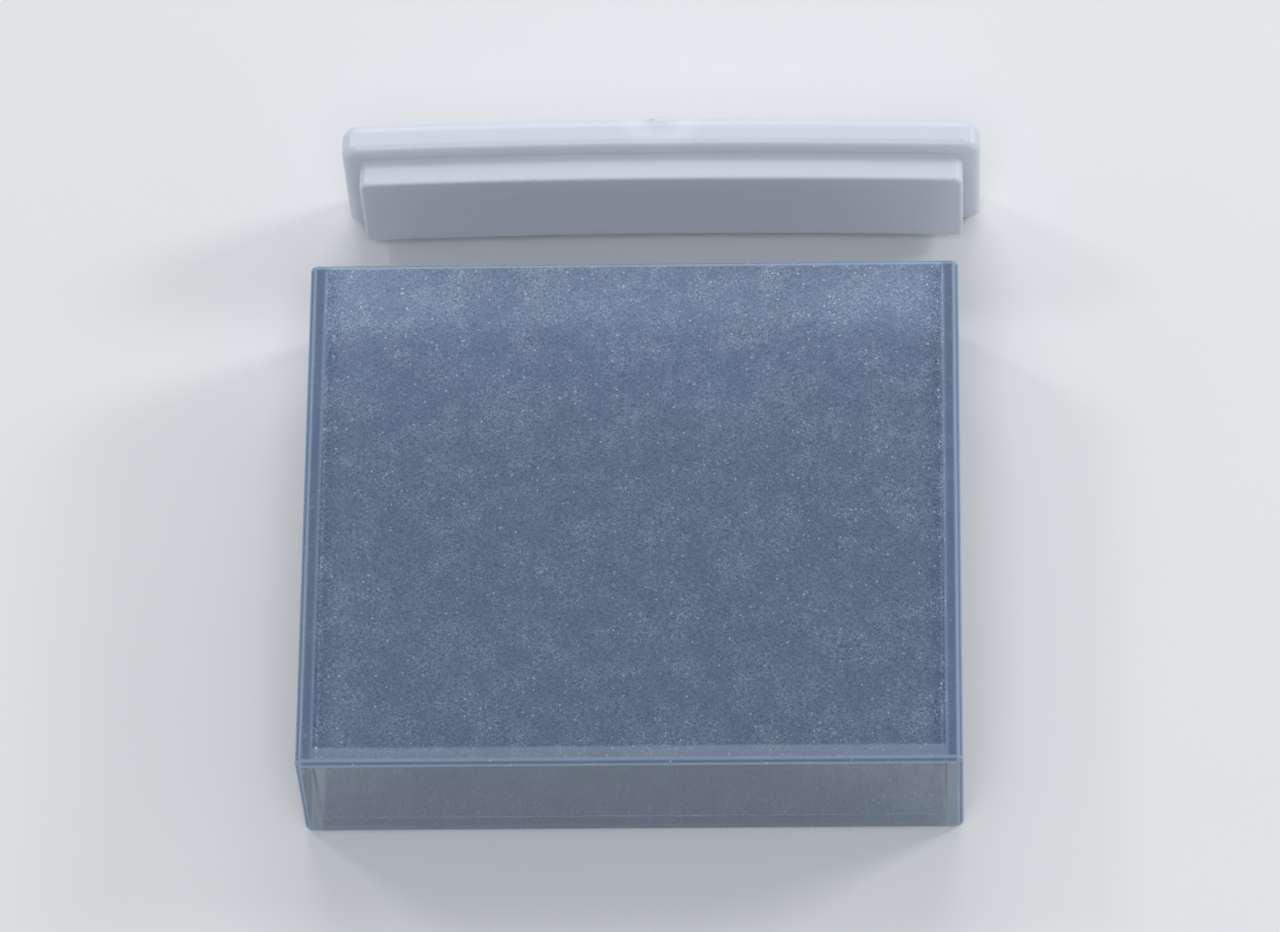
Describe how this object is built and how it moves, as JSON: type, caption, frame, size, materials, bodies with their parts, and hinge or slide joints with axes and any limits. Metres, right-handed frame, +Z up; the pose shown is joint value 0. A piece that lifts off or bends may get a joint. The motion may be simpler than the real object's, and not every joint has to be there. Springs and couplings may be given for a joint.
{
  "type": "glass cuvette with lid",
  "caption": "Rectangular glass sample cell with clear end windows, ground broad walls and an open mouth, beside its moulded plug lid.",
  "frame": {"origin": "middle of the broad ground face that the cell lies on", "axes": "+Y towards the open mouth and the lid, +X along the light path from the left window to the right one, +Z up"},
  "size_m": [0.0543, 0.0587, 0.0125],
  "materials": {
    "glass_clear": "optically polished, clear, with ground bevels",
    "glass_ground": "ground matt outside, smooth inside",
    "glass_base": "clear plate, fused edges",
    "lid_plastic": "smooth white moulded plastic with a soft gloss"
  },
  "bodies": {
    "root": {"window_left": "glass_clear", "window_right": "glass_clear", "side_wall_lower": "glass_ground", "side_wall_upper": "glass_ground", "base_plate": "glass_base", "lid": "lid_plastic"}
  },
  "joints": []
}
